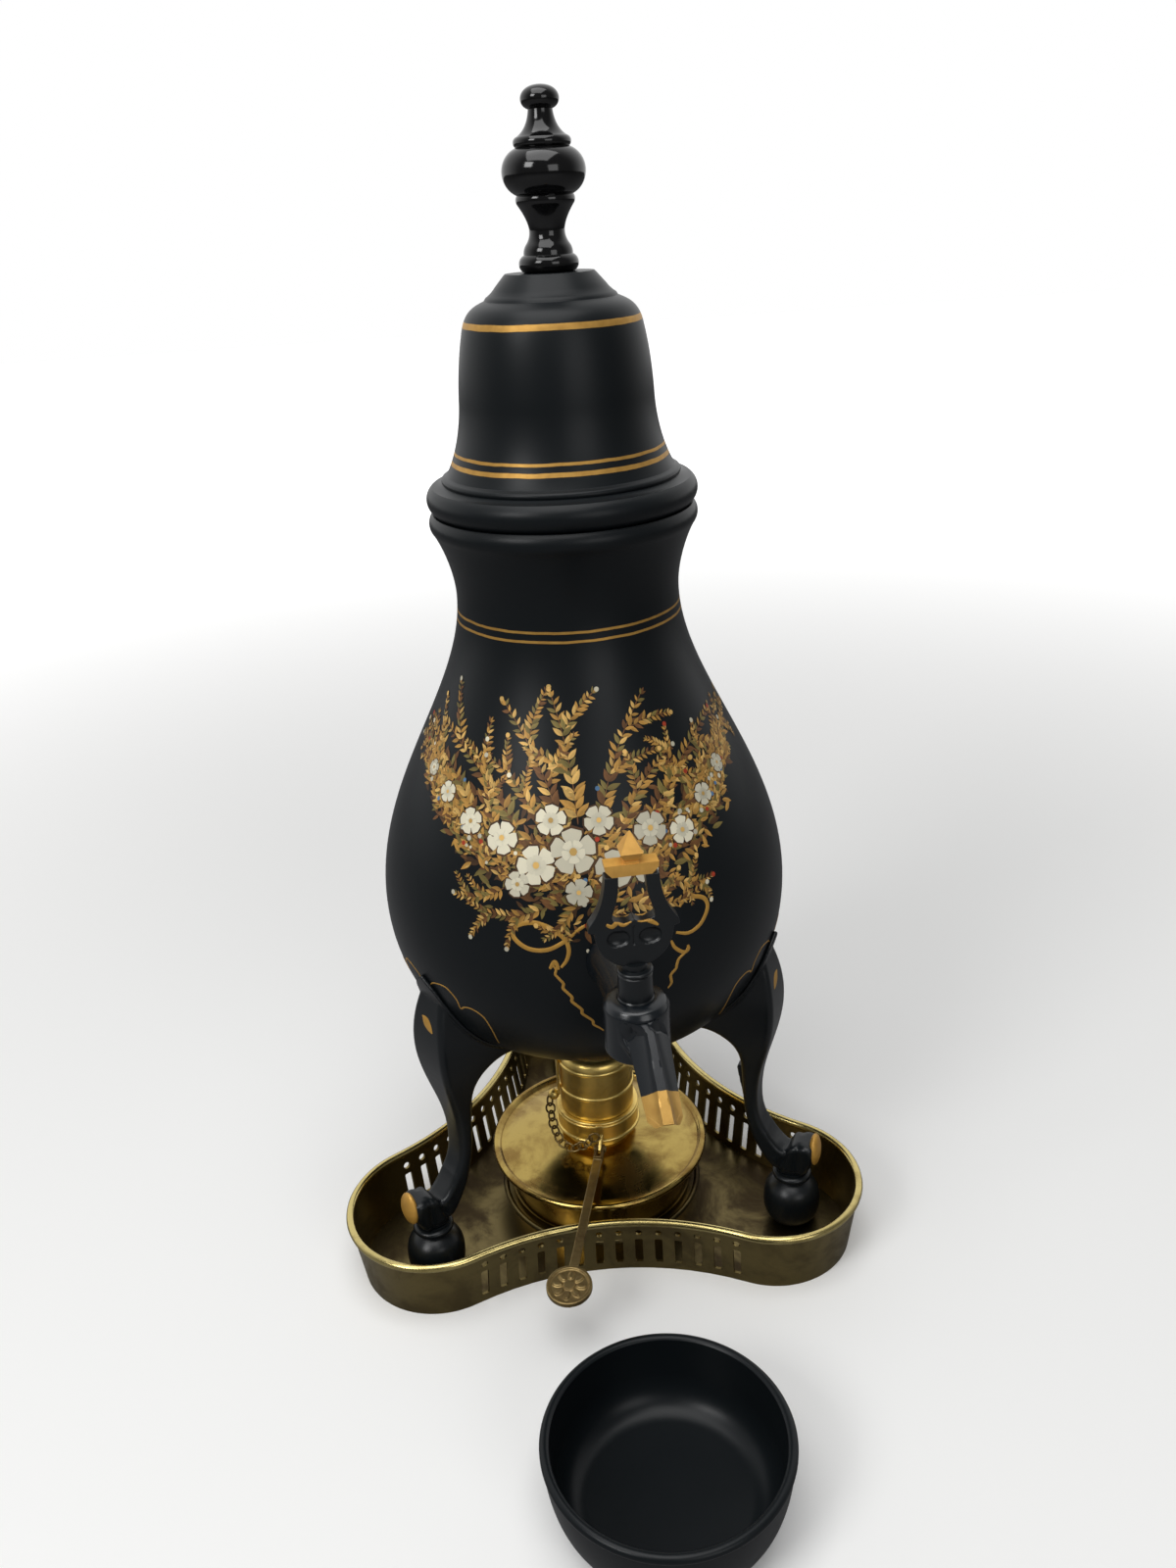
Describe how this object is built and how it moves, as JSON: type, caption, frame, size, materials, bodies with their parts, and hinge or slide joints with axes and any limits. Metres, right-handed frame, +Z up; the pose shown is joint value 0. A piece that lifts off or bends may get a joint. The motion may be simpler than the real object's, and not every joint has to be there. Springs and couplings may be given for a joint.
{
  "type": "coffee urn",
  "caption": "Pear-shaped tap urn on cabriole legs in a pierced trefoil tray, over a spirit burner with snuffer cap and lever, with a bell lid and a loose drip bowl.",
  "frame": {"origin": "on the urn's upright axis, at the underside of the tray, level with the table", "axes": "+Z up; the tap points along -Y; +X to the right when the tap faces the viewer"},
  "size_m": [0.1962, 0.2964, 0.4001],
  "materials": {
    "tray_brass": "satin",
    "burner_brass": "polished",
    "bronze": "satin",
    "nut_brass": "satin",
    "black_paint": "satin",
    "ochre_paint": "satin",
    "black_wood": "gloss",
    "cotton": "matte",
    "seal_rubber": "matte",
    "steel": "satin"
  },
  "bodies": {
    "base": {"tray_base": "tray_brass", "tray_gallery": "tray_brass", "tray_rim": "tray_brass", "burner_reservoir": "burner_brass", "burner_disc": "burner_brass", "burner_neck": "burner_brass", "wick_tube": "burner_brass", "wick": "cotton"},
    "regulator": {"regulator_sleeve": "burner_brass", "lever_lug": "bronze", "chain": "bronze"},
    "lever_arm": {"lever": "bronze", "lever_pin": "bronze", "lever_rosette": "bronze"},
    "cap": {"snuffer_cap": "burner_brass", "cap_strap": "bronze"},
    "urn": {"urn_bottom": "black_paint", "urn_belly": "black_paint", "urn_shoulder": "black_paint", "urn_neck": "black_paint", "leg_left": "black_paint", "leg_right": "black_paint", "leg_back": "black_paint", "ball_foot_left": "black_wood", "ball_foot_right": "black_wood", "ball_foot_back": "black_wood", "tap_body": "black_paint", "tap_seal": "seal_rubber", "tap_nut": "nut_brass", "tap_strainer": "nut_brass"},
    "key": {"tap_plug": "black_paint", "plug_washer": "nut_brass", "plug_nut": "nut_brass", "key_lyre": "black_paint", "key_crossbar": "ochre_paint"},
    "lid": {"lid_bell": "black_paint", "lid_skirt": "nut_brass", "finial": "black_wood", "finial_stud": "steel", "finial_washer": "steel", "finial_nut": "steel"},
    "bowl": {"drip_bowl": "black_paint"}
  },
  "joints": [
    {"name": "regulator_turn", "type": "hinge", "parent": "base", "child": "regulator", "pos_m": [0, 0, 0.035], "axis": [0, 0, 1], "range_deg": [-10, 20]},
    {"name": "lever_fold", "type": "hinge", "parent": "regulator", "child": "lever_arm", "pos_m": [-0.00251, -0.02045, 0.031], "axis": [-0.9455, 0.3256, 0], "range_deg": [0, 40]},
    {"name": "cap_lift", "type": "slide", "parent": "regulator", "child": "cap", "axis": [0, 0, 1], "range_m": [0, 0.02], "deforming": ["chain"]},
    {"name": "urn_lift", "type": "slide", "parent": "base", "child": "urn", "axis": [0, 0, 1], "range_m": [0, 0.08]},
    {"name": "key_turn", "type": "hinge", "parent": "urn", "child": "key", "pos_m": [0, -0.106, 0.15], "axis": [0, 0, 1], "range_deg": [0, 90]},
    {"name": "lid_lift", "type": "slide", "parent": "urn", "child": "lid", "axis": [0, 0, 1], "range_m": [0, 0.05]},
    {"name": "bowl_lift", "type": "slide", "parent": "base", "child": "bowl", "axis": [0, 0, 1], "range_m": [0, 0.06]}
  ]
}
